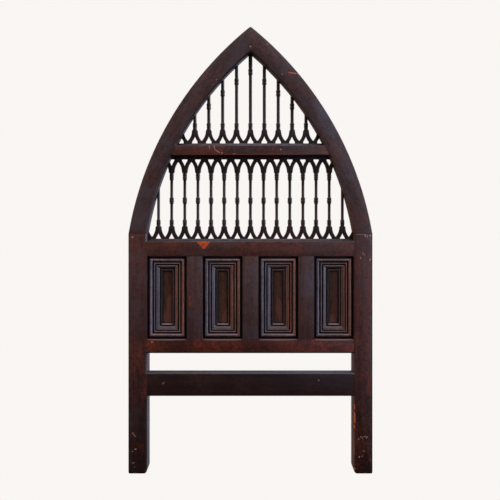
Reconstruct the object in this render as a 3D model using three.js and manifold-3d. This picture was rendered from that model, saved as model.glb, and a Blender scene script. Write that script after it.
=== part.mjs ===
// A Gothic-arch headboard in millimetres. Heights are measured from the floor while the
// pieces are made, X runs to the viewer's right and the front faces -Y.
import * as THREE from 'three';
import { mergeVertices } from 'three/addons/utils/BufferGeometryUtils.js';
import Module from 'manifold-3d';

const wasm = await Module();
wasm.setup();

// Gap left where two pieces touch
const joint = 0.3;
// Distance within which two corners are one
const weld = 1e-4;

// Overall frame
const overallWidth = 1040;
const legWidth = 78;
const legDepth = 60;
const footOuterRound = 6;
const footInnerRound = 12;
const footRoundSteps = 4;
const edgeChamfer = 6;

// Pointed arch, springing from the tops of the legs
const archDepth = 45;
const archRise = 884;
const archOuterRadius = 1443;
const archInnerRadius = 1300;
const archCrown = 108;
const archSteps = 12;
// Steps of the inner edge below, across and above the mid rail
const innerEdgeSteps = [5, 1, 7];

// Rails, from the floor up
const stretcherBottom = 328;
const stretcherHeight = 102;
const stretcherDepth = 27;
const panelRailBottom = 511;
const panelRailHeight = 60;
const panelRailDepth = 45;
const panelHeight = 355;
const mainRailHeight = 67;
const legAboveRail = 29;
const midRailRise = 331;
const midRailHeight = 50;
const midRailDepth = 45;

// Panels, each with a board and four mitred lengths of moulding
const panelCount = 4;
const muntinWidth = 67;
const muntinDepth = 30;
const boardThickness = 12;
const boardRecess = 16;
// Moulding profile: distance in from the opening's edge, then depth below the frame's front
const mouldingProfile = [
  [10, 12], [12, 5], [16.5, 3], [21.5, 5], [24, 13.5], [27, 13.5], [29, 8], [34, 8], [36, 14],
  [39, 14], [40, 6], [44, 5.5], [54, 14.5], [57, 15], [59, 10.5], [63, 10.5], [65, 15],
];

// Spindle galleries, set back inside the arch. The bays across the foot of a gallery count
// the part bays at its ends, which hold no spindle.
const latticeSetback = 27;
const latticeThickness = 15;
const limbWidth = 15.5;
const lancetSteps = 3;
const lowerSizes = { count: 15, stemWidth: 24, bayCount: 15.536 };
const upperSizes = { count: 9, stemWidth: 24.5, bayCount: 10.455 };
// Levels above a strip's base, and how far a stem's sloping shoulder draws in above the lancets
const lowerBottomArcade = { strip: 4.5, tip: 11.5, springing: 55, stem: 58.5, shoulder: 3 };
const lowerTopArcade = { strip: 11, tip: 21.5, springing: 67, stem: 70, shoulder: 2.5 };
const upperBottomArcade = { strip: 7, tip: 18, springing: 61, stem: 68, shoulder: 4.5 };
const holeWidth = 24;

// Turned spindles: radius, then height from the collar's lower end
const shaftRadius = 6.3;
const upperShaftRadius = 7;
const upperHeadRadius = 7.3;
const middleHeadRadius = 8.4;
const spindleSides = 8;
const lowerCollar = [[8.8, 0], [9.2, 4], [9.8, 10], [8.4, 14], [9.4, 19], [6.3, 27]];
const middleCollar = [[6.3, 0], [9.7, 7], [10.4, 14.5], [8.6, 19], [10, 24], [6.3, 32]];
const upperCollar = [[6.3, 0], [9.2, 5], [9.6, 14], [8.2, 18.5], [9.8, 23], [8.8, 33]];
const galleryLowCollar = [[8.6, 0], [9.6, 4], [8.2, 8.5], [9.8, 13.5], [7, 20]];
const galleryHighCollar = [[7, 0], [9.8, 10], [8.2, 16], [9.8, 23], [7.3, 33]];
const lowerCollarRise = 3.5;
const middleCollarRise = 94.5;
const galleryLowCollarRise = 8;
// How far the middle of each upper collar hangs below the arch, from the centre outward
const galleryCollarDrops = [77, 66, 54, 40];

// Levels and half widths worked out from the sizes above
const halfWidth = overallWidth / 2;
const legInner = halfWidth - legWidth;
const stretcherTop = stretcherBottom + stretcherHeight;
const panelBottom = panelRailBottom + panelRailHeight;
const mainRailBottom = panelBottom + panelHeight;
const mainRailTop = mainRailBottom + mainRailHeight;
const legHeight = mainRailTop + legAboveRail;
const midRailBottom = legHeight + midRailRise;
const midRailTop = midRailBottom + midRailHeight;
const innerRise = archRise - archCrown;
const panelWidth = (2 * legInner - (panelCount - 1) * muntinWidth) / panelCount;
const frontY = -legDepth;
const latticeY = frontY + latticeSetback;
const mountHeight = mainRailBottom + mainRailHeight / 2;

function arcCentre(from, to, radius) {
  const middle = from.clone().lerp(to, 0.5);
  const along = to.clone().sub(from);
  const half = along.length() / 2;
  const inward = new THREE.Vector2(-along.y, along.x).normalize();
  return middle.addScaledVector(inward, Math.sqrt(radius * radius - half * half));
}

// Points on an arc that bulges to the right of the way from one point to the other
function arcPoints(from, to, radius, steps) {
  const centre = arcCentre(from, to, radius);
  const start = from.clone().sub(centre).angle();
  const end = to.clone().sub(centre).angle();
  const sweep = THREE.MathUtils.euclideanModulo(end - start + Math.PI, 2 * Math.PI) - Math.PI;
  const at = (step) => new THREE.Vector2(radius, 0)
    .rotateAround(new THREE.Vector2(), start + (sweep * step) / steps).add(centre);
  return Array.from({ length: steps + 1 }, (_, step) => at(step));
}

const point = (x, z) => new THREE.Vector2(x, z);
const mirrored = (points) => points.map((p) => point(-p.x, p.y)).reverse();

// The arch's inner edge on the right, in three stretches that meet at the mid rail
const innerFoot = point(legInner, legHeight);
const innerTip = point(0, legHeight + innerRise);
const innerCentre = arcCentre(innerFoot, innerTip, archInnerRadius);

function openingHalfWidth(height, inset = 0) {
  const rise = height - innerCentre.y;
  return innerCentre.x + Math.sqrt((archInnerRadius - inset) ** 2 - rise ** 2);
}

function innerEdge(inset = 0) {
  const levels = [legHeight, midRailBottom, midRailTop, legHeight + innerRise];
  const ends = levels.map((level) => point(openingHalfWidth(level), level));
  const stretches = innerEdgeSteps.map((steps, i) => arcPoints(ends[i], ends[i + 1],
    archInnerRadius, steps));
  const pull = (p) => p.clone().lerp(innerCentre, inset / archInnerRadius);
  return stretches.map((stretch) => stretch.map(pull));
}

function toSolid(geometry) {
  const bare = geometry.clone();
  bare.deleteAttribute('normal');
  bare.deleteAttribute('uv');
  const merged = mergeVertices(bare, weld);
  return new wasm.Manifold(new wasm.Mesh({
    numProp: 3,
    vertProperties: new Float32Array(merged.attributes.position.array),
    triVerts: new Uint32Array(merged.index.array),
  }));
}

function toGeometry(solid) {
  const mesh = solid.getMesh();
  const geometry = new THREE.BufferGeometry();
  geometry.setAttribute('position', new THREE.BufferAttribute(mesh.vertProperties, 3));
  geometry.setIndex(new THREE.BufferAttribute(mesh.triVerts, 1));
  geometry.computeVertexNormals();
  return geometry;
}

// A board cut to a front outline, from its front plane backward
function slab(outline, front, depth) {
  const settings = { depth, bevelEnabled: false };
  const geometry = new THREE.ExtrudeGeometry(new THREE.Shape(outline), settings);
  geometry.rotateX(Math.PI / 2);
  geometry.translate(0, front + depth, 0);
  return toSolid(geometry);
}

// The cutter that chamfers the frame's front edges all round one opening
function chamferCutter(outline) {
  const geometry = new THREE.ExtrudeGeometry(new THREE.Shape(outline), {
    depth: edgeChamfer,
    bevelEnabled: true,
    bevelThickness: edgeChamfer,
    bevelSize: edgeChamfer,
    bevelSegments: 1,
  });
  geometry.rotateX(Math.PI / 2);
  geometry.translate(0, frontY, 0);
  return toSolid(geometry);
}

function rectangle(left, bottom, right, top) {
  return [point(left, bottom), point(right, bottom), point(right, top), point(left, top)];
}

// A closed outline from its right half, listed upward
const symmetric = (right) => [...right, ...mirrored(right)];

const [edgeLow, edgeMiddle, edgeHigh] = innerEdge();
const chamfers = [
  rectangle(-legInner, -legWidth, legInner, stretcherBottom),
  rectangle(-legInner, stretcherTop, legInner, panelRailBottom),
  symmetric([point(legInner, mainRailTop), ...edgeLow]),
  symmetric(edgeHigh.slice(0, -1)).toSpliced(edgeHigh.length - 1, 0, innerTip),
].map(chamferCutter);

const chamfered = (solid) => chamfers.reduce((cut, cutter) => cut.subtract(cutter), solid);

// The whole arched opening, a joint's width smaller, that trims what stands in it
function archTrimmer() {
  const right = innerEdge(joint).flat();
  right.unshift(point(legInner - joint, mainRailTop));
  right.pop();
  const outline = symmetric(right).toSpliced(right.length, 0, innerTip);
  return slab(outline, frontY - archDepth, archDepth * 2 + legDepth);
}

const trimmer = archTrimmer();

function legOutline() {
  const outer = arcPoints(point(halfWidth - footOuterRound, 0), point(halfWidth, footOuterRound),
    footOuterRound, footRoundSteps);
  const inner = arcPoints(point(legInner, footInnerRound), point(legInner + footInnerRound, 0),
    footInnerRound, footRoundSteps);
  return [...outer, point(halfWidth, legHeight), point(legInner, legHeight), ...inner];
}

function archOutline() {
  const gap = joint / 2;
  const outer = arcPoints(point(halfWidth, legHeight), point(0, legHeight + archRise),
    archOuterRadius, archSteps);
  const inner = [...edgeLow, ...edgeMiddle.slice(1), ...edgeHigh.slice(1)].reverse();
  return [...outer, ...inner].map((p) => point(Math.max(p.x, gap), p.y));
}

function arch() {
  const foot = rectangle(0, legHeight - joint, overallWidth, legHeight + joint);
  return chamfered(slab(archOutline(), frontY, archDepth))
    .subtract(slab(foot, frontY - joint, legDepth));
}

function rail(bottom, height, depth) {
  const half = legInner - joint;
  return chamfered(slab(rectangle(-half, bottom, half, bottom + height), frontY, depth));
}

function midRail() {
  const outline = rectangle(-legInner, midRailBottom, legInner, midRailTop);
  return chamfered(slab(outline, frontY, midRailDepth).intersect(trimmer));
}

// A gallery's sizes with the pitch that shares its foot's width among the bays
function gallery(sizes, footHalfWidth) {
  return { ...sizes, pitch: (2 * footHalfWidth) / sizes.bayCount };
}

const lowerGallery = gallery(lowerSizes, legInner);
const upperGallery = gallery(upperSizes, openingHalfWidth(midRailTop));

function lancet({ pitch, stemWidth }, { tip, springing }) {
  const half = (pitch - stemWidth) / 2;
  const height = springing - tip;
  const radius = (half * half + height * height) / (2 * half);
  return { half, height, radius };
}

// Bays cut beyond each end of a gallery, where the arch trims the strip
const spareBays = 1.5;

// The outline of an arcade strip, with its base on level 0 and its stems pointing up
function arcadeOutline(row, arcade) {
  const { half, radius } = lancet(row, arcade);
  const reach = row.count / 2 + spareBays;
  const first = -reach * row.pitch;
  const outline = [];
  for (let bay = 0; bay < 2 * reach; bay += 1) {
    const axis = first + (bay + 0.5) * row.pitch;
    const tip = point(axis, arcade.tip);
    const right = arcPoints(tip, point(axis + half, arcade.springing), radius, lancetSteps);
    right.push(point(axis + half + arcade.shoulder, arcade.stem));
    const left = right.slice(1).map((p) => point(2 * axis - p.x, p.y)).reverse();
    outline.push(...left, ...right);
  }
  return [point(-first, 0), point(-first, arcade.stem), ...outline.reverse(),
    point(first, arcade.stem), point(first, 0)].reverse();
}

// The small pointed hole between two limbs above the strip, at one spindle. Its sides follow
// the limbs down to its full width and then drop straight to the strip.
function spandrel(row, arcade, axis) {
  const { half, radius } = lancet(row, arcade);
  const outer = radius + limbWidth;
  const centre = row.pitch / 2 - half + radius;
  const levelAt = (side) => arcade.springing - Math.sqrt(outer ** 2 - (centre - side) ** 2);
  const right = [
    point(holeWidth / 2, arcade.strip),
    point(holeWidth / 2, levelAt(holeWidth / 2)),
    point(0, levelAt(0)),
  ];
  const left = mirrored(right).slice(1);
  return [...right, ...left].map((p) => point(p.x + axis, p.y));
}

function arcade(row, sizes, base, up) {
  const level = (p) => point(p.x, base + up * p.y);
  const place = (points) => (up > 0 ? points.map(level) : points.map(level).reverse());
  const reach = (row.count - 1) / 2 + 1;
  const inside = Math.min(openingHalfWidth(base + up * sizes.strip), legInner);
  let strip = slab(place(arcadeOutline(row, sizes)), latticeY, latticeThickness);
  for (let bay = -reach; bay <= reach; bay += 1) {
    const axis = bay * row.pitch;
    if (Math.abs(axis) > inside) continue;
    const hole = place(spandrel(row, sizes, axis));
    strip = strip.subtract(slab(hole, frontY, legDepth));
  }
  return strip.intersect(trimmer);
}

// A turned spindle from its list of radii and heights, trimmed to the arch
function spindle(axis, bottom, top, turning) {
  const profile = [[0, bottom], [turning[0][0], bottom], ...turning.slice(1), [0, top]];
  const points = profile.map(([radius, height]) => point(radius, height));
  const geometry = new THREE.LatheGeometry(points, spindleSides);
  geometry.rotateX(Math.PI / 2);
  geometry.translate(axis, latticeY + latticeThickness / 2, 0);
  return toSolid(geometry).intersect(trimmer);
}

const raised = (collar, height) => collar.map(([radius, level]) => [radius, height + level]);

function lowerSpindle(step) {
  const axis = step * lowerGallery.pitch;
  const bottom = mainRailTop + lowerBottomArcade.stem + 2 * joint;
  const top = midRailBottom - lowerTopArcade.stem - joint;
  const low = raised(lowerCollar, bottom + lowerCollarRise);
  const turning = [[lowerCollar[0][0], bottom], ...low];
  if (openingHalfWidth(top) < Math.abs(axis)) {
    return spindle(axis, bottom, top, [...turning, [shaftRadius, top]]);
  }
  const high = raised(upperCollar, top - upperCollar.at(-1)[1]);
  turning.push(...raised(middleCollar, bottom + middleCollarRise), ...high);
  return spindle(axis, bottom, top, turning);
}

function upperSpindle(step) {
  const axis = step * upperGallery.pitch;
  const bottom = midRailTop + upperBottomArcade.stem + 2 * joint;
  const top = legHeight + innerRise;
  const turning = [[galleryLowCollar[0][0], bottom],
    ...raised(galleryLowCollar, bottom + galleryLowCollarRise)];
  const drop = galleryCollarDrops[Math.abs(step)];
  if (drop === undefined) return spindle(axis, bottom, top, [...turning, [upperShaftRadius, top]]);
  const rise = Math.sqrt(archInnerRadius ** 2 - (Math.abs(axis) - innerCentre.x) ** 2);
  const collarBottom = innerCentre.y + rise - drop - galleryHighCollar.at(-1)[1] / 2;
  const head = step === 0 ? middleHeadRadius : upperHeadRadius;
  turning.push(...raised(galleryHighCollar, collarBottom), [head, top]);
  return spindle(axis, bottom, top, turning);
}

// One mitred length of moulding, lying along X with its outer edge on level 0
function mouldingLength(length) {
  const back = boardRecess - joint;
  const outline = [point(joint, back), ...mouldingProfile.map(([x, z]) => point(x, z))];
  const inner = mouldingProfile.at(-1)[0];
  const shape = new THREE.Shape([...outline, point(inner, back)]);
  const geometry = new THREE.ExtrudeGeometry(shape, { depth: 1, bevelEnabled: false });
  const place = geometry.attributes.position;
  for (let i = 0; i < place.count; i += 1) {
    const inward = place.getX(i);
    const end = place.getZ(i) > 0 ? -1 : 1;
    place.setXYZ(i, end * (length / 2 - inward - joint), frontY + place.getY(i), inward);
  }
  return mergeVertices(geometry.deleteAttribute('normal').deleteAttribute('uv'), weld);
}

const stain = { roughness: 0.42, metalness: 0 };
const stains = {
  leg: new THREE.Color(0x3a211d),
  arch: new THREE.Color(0x39292a),
  rail: new THREE.Color(0x472822),
  panel: new THREE.Color(0x33201d),
  lattice: new THREE.Color(0x2a1f1e),
};

const headboard = new THREE.Group();

function add(name, geometry, colour, parent = headboard) {
  const material = new THREE.MeshStandardMaterial({ ...stain, color: stains[colour] });
  const mesh = new THREE.Mesh(geometry, material);
  mesh.name = name;
  parent.add(mesh);
}

// A pair of mirror-image pieces from the right-hand one
function addPair(name, solid, colour) {
  add(`right_${name}`, toGeometry(solid), colour);
  add(`left_${name}`, toGeometry(solid.mirror([1, 0, 0])), colour);
}

addPair('leg', chamfered(slab(legOutline(), frontY, legDepth)), 'leg');
addPair('arch', arch(), 'arch');
add('stretcher', toGeometry(rail(stretcherBottom, stretcherHeight, stretcherDepth)), 'rail');
add('panel_rail', toGeometry(rail(panelRailBottom, panelRailHeight, panelRailDepth)), 'rail');
add('main_rail', toGeometry(rail(mainRailBottom, mainRailHeight, legDepth)), 'rail');
add('mid_rail', toGeometry(midRail()), 'rail');

// Panels from left to right, with a muntin between each two
for (let i = 0; i < panelCount; i += 1) {
  const left = -legInner + i * (panelWidth + muntinWidth);
  const right = left + panelWidth;
  const low = panelBottom + joint;
  const high = panelBottom + panelHeight - joint;
  if (i < panelCount - 1) {
    const outline = rectangle(right, low, right + muntinWidth, high);
    add(`muntin_${i + 1}`, toGeometry(slab(outline, frontY, muntinDepth)), 'rail');
  }
  const board = rectangle(left + joint, low, right - joint, high);
  add(`panel_${i + 1}`, toGeometry(slab(board, frontY + boardRecess, boardThickness)), 'panel');
  const frame = new THREE.Group();
  frame.position.set(left + panelWidth / 2, 0, panelBottom + panelHeight / 2);
  headboard.add(frame);
  const sides = ['bottom', 'right', 'top', 'left'];
  sides.forEach((side, turn) => {
    const upright = turn % 2 === 1;
    const across = upright ? panelWidth : panelHeight;
    const turned = new THREE.Group();
    turned.rotation.y = (-turn * Math.PI) / 2;
    const shifted = new THREE.Group();
    shifted.position.z = -across / 2;
    turned.add(shifted);
    frame.add(turned);
    const length = upright ? panelHeight : panelWidth;
    add(`moulding_${i + 1}_${side}`, mouldingLength(length), 'panel', shifted);
  });
}

const arcades = {
  lower_arcade_bottom: arcade(lowerGallery, lowerBottomArcade, mainRailTop + joint, 1),
  lower_arcade_top: arcade(lowerGallery, lowerTopArcade, midRailBottom - joint, -1),
  upper_arcade_bottom: arcade(upperGallery, upperBottomArcade, midRailTop + joint, 1),
};
for (const [name, solid] of Object.entries(arcades)) add(name, toGeometry(solid), 'lattice');

for (let i = 0; i < lowerGallery.count; i += 1) {
  const solid = lowerSpindle(i - (lowerGallery.count - 1) / 2);
  add(`lower_spindle_${i + 1}`, toGeometry(solid), 'lattice');
}
for (let i = 0; i < upperGallery.count; i += 1) {
  const solid = upperSpindle(i - (upperGallery.count - 1) / 2);
  add(`upper_spindle_${i + 1}`, toGeometry(solid), 'lattice');
}

// The origin is the fixing point in the middle of the main rail's back
headboard.position.set(0, 0, -mountHeight);

export default headboard;
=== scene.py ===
from math import cos, hypot, pi, radians, sin, sqrt

import bmesh
import bpy
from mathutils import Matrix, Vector


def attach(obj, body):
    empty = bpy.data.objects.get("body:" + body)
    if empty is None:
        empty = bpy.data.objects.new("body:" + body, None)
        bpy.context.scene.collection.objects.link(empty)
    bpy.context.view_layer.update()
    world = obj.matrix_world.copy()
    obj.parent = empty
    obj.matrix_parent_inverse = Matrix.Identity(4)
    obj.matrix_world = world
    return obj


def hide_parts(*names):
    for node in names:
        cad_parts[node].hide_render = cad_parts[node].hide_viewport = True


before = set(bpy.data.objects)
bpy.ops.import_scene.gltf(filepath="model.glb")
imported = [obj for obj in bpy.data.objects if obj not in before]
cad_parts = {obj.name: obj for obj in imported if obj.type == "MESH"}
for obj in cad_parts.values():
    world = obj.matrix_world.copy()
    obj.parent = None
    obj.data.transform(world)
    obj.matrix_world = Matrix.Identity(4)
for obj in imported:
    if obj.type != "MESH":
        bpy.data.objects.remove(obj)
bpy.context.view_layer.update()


# Studio: the headboard stands in a pale room, seen square on from two metres in front of its
# face. The eye is level with the lower gallery, as the converging inner sides show. Sizes are in
# millimetres and heights are taken from the floor; the origin is the fixing point on the back.
MM = 0.001
FIXING_HEIGHT = 959.5
FRONT = -60.0
EYE_RIGHT = -1.9
EYE_HEIGHT = 1165.7
EYE_DISTANCE = 2000.0
PICTURE_WIDTH = 2131.0
PICTURE_SHIFT = -0.1
SENSOR = 36.0


def level(height):
    return (height - FIXING_HEIGHT) * MM


eye = bpy.data.cameras.new("Camera")
eye.sensor_width = SENSOR
eye.lens = SENSOR * EYE_DISTANCE / PICTURE_WIDTH
eye.shift_y = PICTURE_SHIFT
viewer = bpy.data.objects.new("Camera", eye)
bpy.context.scene.collection.objects.link(viewer)
viewer.location = (EYE_RIGHT * MM, (FRONT - EYE_DISTANCE) * MM, level(EYE_HEIGHT))
viewer.rotation_euler = (radians(90), 0, 0)
bpy.context.scene.camera = viewer
bpy.context.scene.view_settings.view_transform = "Standard"

# The wood reflects a dim room with cool windows far to the right, a warm lit wall far to the
# left and a bright ceiling. The camera sees only a plain pale wall behind the headboard.
WALL = (0.947, 0.921, 0.896, 1)
GLOOM = (0.03, 0.027, 0.027, 1)
AHEAD = (0.11, 0.11, 0.115, 1)
WINDOWS = (0.32, 0.50, 0.82, 1)
PANES = (4.8, 5.2, 6.4, 1)
FAR_LEFT = (1.9, 1.20, 1.00, 1)
CEILING = (0.80, 0.78, 0.86, 1)
OVERHEAD = (2.3, 2.6, 3.1, 1)
BEHIND_LEFT = (0.10, 0.085, 0.08, 1)
BEHIND_RIGHT = (0.46, 0.52, 0.66, 1)
LOW_BEHIND = (0.30, 0.245, 0.235, 1)

# Where each of them fades in, as a share of the way to the right, away from the eye or up
AHEAD_RISES = (-0.25, 0.30)
WINDOWS_BEGIN = (0.10, 0.60)
WINDOWS_RISE = (-0.40, 0.04)
PANES_BEGIN = (0.78, 0.95)
FAR_LEFT_BEGINS = (-0.75, -0.95)
CEILING_RISES = (0.58, 0.82)
OVERHEAD_RISES = (0.80, 0.92)
LOW_BEHIND_SINKS = (-0.04, -0.22)
BEHIND_RIGHT_BEGINS = (0.02, 0.22)
BEHIND_BEGINS = (0.5, 0.9)

room = bpy.data.worlds.new("Room")
bpy.context.scene.world = room
room.use_nodes = True
sky = room.node_tree
wall = sky.nodes["Background"]


def sky_node(kind, values, **settings):
    made = sky.nodes.new("ShaderNode" + kind)
    for key, value in settings.items():
        setattr(made, key, value)
    for key, value in values.items():
        if isinstance(value, bpy.types.NodeSocket):
            sky.links.new(value, made.inputs[key])
        else:
            made.inputs[key].default_value = value
    return made.outputs


def from_to(value, span):
    return sky_node("MapRange", {0: value, 1: span[0], 2: span[1]},
                    interpolation_type="SMOOTHSTEP")[0]


def blend(factor, a, b):
    return sky_node("Mix", {0: factor, 6: a, 7: b}, data_type="RGBA")[2]


way = sky_node("TexCoord", {})["Generated"]
across, away, height = sky_node("SeparateXYZ", {0: way})
ahead = blend(from_to(height, AHEAD_RISES), GLOOM, AHEAD)
cool = blend(from_to(across, PANES_BEGIN), WINDOWS, PANES)
rightward = sky_node("Math", {0: from_to(across, WINDOWS_BEGIN), 1: from_to(height, WINDOWS_RISE)},
                     operation="MULTIPLY")[0]
beside = blend(rightward, ahead, cool)
beside = blend(from_to(across, FAR_LEFT_BEGINS), beside, FAR_LEFT)
lit = blend(from_to(height, CEILING_RISES), beside, CEILING)
lit = blend(from_to(height, OVERHEAD_RISES), lit, OVERHEAD)
behind_left = blend(from_to(height, LOW_BEHIND_SINKS), BEHIND_LEFT, LOW_BEHIND)
behind = blend(from_to(across, BEHIND_RIGHT_BEGINS), behind_left, BEHIND_RIGHT)
lit = blend(from_to(away, BEHIND_BEGINS), lit, behind)
seen = sky_node("LightPath", {})["Is Camera Ray"]
sky.links.new(blend(seen, lit, WALL), wall.inputs["Color"])

# One large lamp far overhead, placed in metres, gives the soft daylight. It shows in no
# reflection.
LAMP_PLACE = (0.3, -5.2, 10)
LAMP_SIZE = 3.2
LAMP_POWER = 235
LAMP_COLOUR = (1.0, 0.99, 1.0)

lamp = bpy.data.lights.new("Skylight", "AREA")
lamp.shape, lamp.size, lamp.size_y = "RECTANGLE", LAMP_SIZE, LAMP_SIZE
lamp.energy, lamp.color = LAMP_POWER, LAMP_COLOUR
stand = bpy.data.objects.new("Skylight", lamp)
bpy.context.scene.collection.objects.link(stand)
stand.location = LAMP_PLACE
stand.rotation_euler = (-Vector(LAMP_PLACE)).to_track_quat("-Z", "Y").to_euler()
stand.visible_glossy = False

# The floor, sixty metres wide, is as pale as the wall and casts nothing back on the wood
FLOOR_SIZE = 60

bpy.ops.mesh.primitive_plane_add(size=FLOOR_SIZE, location=(0, 0, level(0)))
floor = bpy.context.object
floor.name = "floor"
floor.visible_diffuse = floor.visible_glossy = False
paper = bpy.data.materials.new("pale floor")
paper.use_nodes = True
sheet = paper.node_tree.nodes["Principled BSDF"]
sheet.inputs["Base Color"].default_value = (0, 0, 0, 1)
sheet.inputs["Roughness"].default_value = 1.0
sheet.inputs["Specular IOR Level"].default_value = 0.0
sheet.inputs["Emission Color"].default_value = WALL
sheet.inputs["Emission Strength"].default_value = 1.0
floor.data.materials.append(paper)


# Legs: two squared posts of stained hardwood that end in slightly rounded feet. They are sawn
# and planed, and carry the arch on their tops and the rails between them.
OVERALL_WIDTH = 1040.0
LEG_WIDTH = 78.0
LEG_HEIGHT = 1022.0
FOOT_OUTER_ROUND = 6.0
FOOT_INNER_ROUND = 12.0
FOOT_OUTER_STEPS = 4
FOOT_INNER_STEPS = 5
HALF_WIDTH = OVERALL_WIDTH / 2
LEG_INNER = HALF_WIDTH - LEG_WIDTH
JOINT = 0.3
SAME_PLACE = 0.01 * MM


def fresh():
    if bpy.context.mode != "OBJECT":
        bpy.ops.object.mode_set(mode="OBJECT")
    bpy.ops.object.select_all(action="DESELECT")


def take_up(piece):
    fresh()
    piece.select_set(True)
    bpy.context.view_layer.objects.active = piece


def edit(piece):
    take_up(piece)
    bpy.ops.object.mode_set(mode="EDIT")
    bpy.ops.mesh.select_mode(type="VERT")
    bpy.ops.mesh.select_all(action="DESELECT")


def pick(kind, wanted):
    """Select the vertices, edges or faces of the mesh in hand that a test wants."""
    bpy.ops.mesh.select_mode(type=kind)
    mesh = bmesh.from_edit_mesh(bpy.context.object.data)
    for item in {"VERT": mesh.verts, "EDGE": mesh.edges, "FACE": mesh.faces}[kind]:
        if kind == "VERT":
            item.select = wanted(item.co)
        elif kind == "EDGE":
            item.select = wanted(item.verts[0].co, item.verts[1].co)
        else:
            item.select = wanted(item.calc_center_median(), item.normal)
    mesh.select_flush_mode()
    bmesh.update_edit_mesh(bpy.context.object.data)


def settle():
    bpy.ops.object.transform_apply(location=True, rotation=True, scale=True)


def face_outward():
    bpy.ops.mesh.select_all(action="SELECT")
    bpy.ops.mesh.normals_make_consistent(inside=False)


def block(name, low, high):
    """A squared timber between two corners given in millimetres, z above the floor."""
    fresh()
    low = (low[0] * MM, low[1] * MM, level(low[2]))
    high = (high[0] * MM, high[1] * MM, level(high[2]))
    middle = [(a + b) / 2 for a, b in zip(low, high)]
    bpy.ops.mesh.primitive_cube_add(size=1, location=middle)
    piece = bpy.context.object
    piece.name = piece.data.name = name
    piece.scale = [b - a for a, b in zip(low, high)]
    settle()
    return piece


def round_edges(wanted, radius, steps):
    pick("EDGE", wanted)
    bpy.ops.mesh.bevel(offset=radius * MM, segments=steps, affect="EDGES")


def near(a, b):
    return abs(a - b) < SAME_PLACE


def corner(x, height):
    """A test for the edge that runs from front to back at one place of the front view."""
    return lambda a, b: all(near(p.x, x * MM) and near(p.z, level(height)) for p in (a, b))


def copy_of(piece, name):
    take_up(piece)
    bpy.ops.object.duplicate()
    twin = bpy.context.object
    twin.name = twin.data.name = name
    return twin


def opposite(piece, name):
    """The mirror-image piece on the other side."""
    twin = copy_of(piece, name)
    twin.scale = (-1, 1, 1)
    settle()
    edit(twin)
    face_outward()
    fresh()
    return twin


right_leg = block("right_leg_wood", (LEG_INNER, FRONT, 0), (HALF_WIDTH, 0, LEG_HEIGHT))
edit(right_leg)
round_edges(corner(LEG_INNER, 0), FOOT_INNER_ROUND, FOOT_INNER_STEPS)
round_edges(corner(HALF_WIDTH, 0), FOOT_OUTER_ROUND, FOOT_OUTER_STEPS)
left_leg = opposite(right_leg, "left_leg_wood")


class Shade:
    """A socket of a finish, so that what varies over the wood is written as plain sums."""

    def __init__(self, tree, socket=None):
        self.tree, self.socket = tree, socket

    def node(self, kind, settings=None, values=None, out=0):
        made = self.tree.nodes.new("ShaderNode" + kind)
        for key, value in (settings or {}).items():
            setattr(made, key, value)
        for key, value in (values or {}).items():
            if isinstance(value, Shade):
                self.tree.links.new(value.socket, made.inputs[key])
            else:
                made.inputs[key].default_value = value
        return Shade(self.tree, made.outputs[out])

    def sum(self, operation, a, b=0.0):
        return self.node("Math", {"operation": operation}, {0: a, 1: b})

    def __add__(self, other):
        return self.sum("ADD", self, other)

    def __radd__(self, other):
        return self.sum("ADD", other, self)

    def __sub__(self, other):
        return self.sum("SUBTRACT", self, other)

    def __rsub__(self, other):
        return self.sum("SUBTRACT", other, self)

    def __mul__(self, other):
        return self.sum("MULTIPLY", self, other)

    def __rmul__(self, other):
        return self.sum("MULTIPLY", other, self)

    def __abs__(self):
        return self.sum("ABSOLUTE", self)

    def above(self, start, end):
        """0 below start, 1 above end, and smooth between."""
        return self.node("MapRange", {"interpolation_type": "SMOOTHSTEP"},
                         {0: self, 1: start, 2: end, 3: 0.0, 4: 1.0})


def colour_mix(base, factor, a, b):
    return base.node("Mix", {"data_type": "RGBA"}, {0: factor, 6: a, 7: b}, out=2)


def paint(hexcode):
    """The linear colour of a tone that is written as a screen shows it."""
    parts = [int(hexcode[i:i + 2], 16) / 255 for i in (0, 2, 4)]
    return tuple(p / 12.92 if p <= 0.04045 else ((p + 0.055) / 1.055) ** 2.4 for p in parts) + (1,)


# The stain follows the grain in long streaks and fine pores, and clouds over in patches. Low down
# it can be darkened by painted shade, and grey-blue patches add a painted sheen. Each pattern has
# its fineness, detail and roughness, and streaks and pores are stretched along the grain first.
STREAK_STRETCH = (60, 60, 5)
PORE_STRETCH = (420, 420, 12)
STREAKS = (1.0, 5.0, 0.6)
STREAK_WAVER = 0.3
PORES = (1.0, 3.0, 0.6)
MOTTLE = (95.0, 3.0, 0.65)
CLOUDS = (7.0, 5.0, 0.65)
RAGGED = (260.0, 2.0, 0.5)
PAIR_SHIFT = 3.7
STREAK_TONE, MOTTLE_TONE, PORE_TONE = 0.35, 0.35, 0.3
MIDDLE_TONES = (0.36, 0.66)
RED_CLOUDS = (0.44, 0.70)
RED_MOTTLE = (0.30, 0.62)
SHEEN_PATCH_CLOUDS = (0.32, 0.52)
DULL_CLOUDS = (0.35, 0.70)
# Painted sheen: the grey-blue tone of the sheen patches
SHEEN_PATCH_TONE = "5c5258"
# Painted shade: the near-black tone that is mixed in low down
LOW_SHADE_TONE = "150705"
DULLING = 0.12
PORE_DULLING = 0.08
RELIEF = 0.35
RELIEF_DEPTH = 0.6 * MM
STREAK_RELIEF, MOTTLE_RELIEF, PORE_RELIEF = 0.6, 0.5, 0.6

# Marks of wear and of painted light have ragged edges and stay within a few millimetres of the
# front face
MARK_REACH = (4, 10)
SPOT_EDGE = (0.45, 1.25)
SPOT_STRENGTH = 1.7
RAGGED_EDGE = (1.1, 1.45)
MARK_DULLING = 0.2


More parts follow.
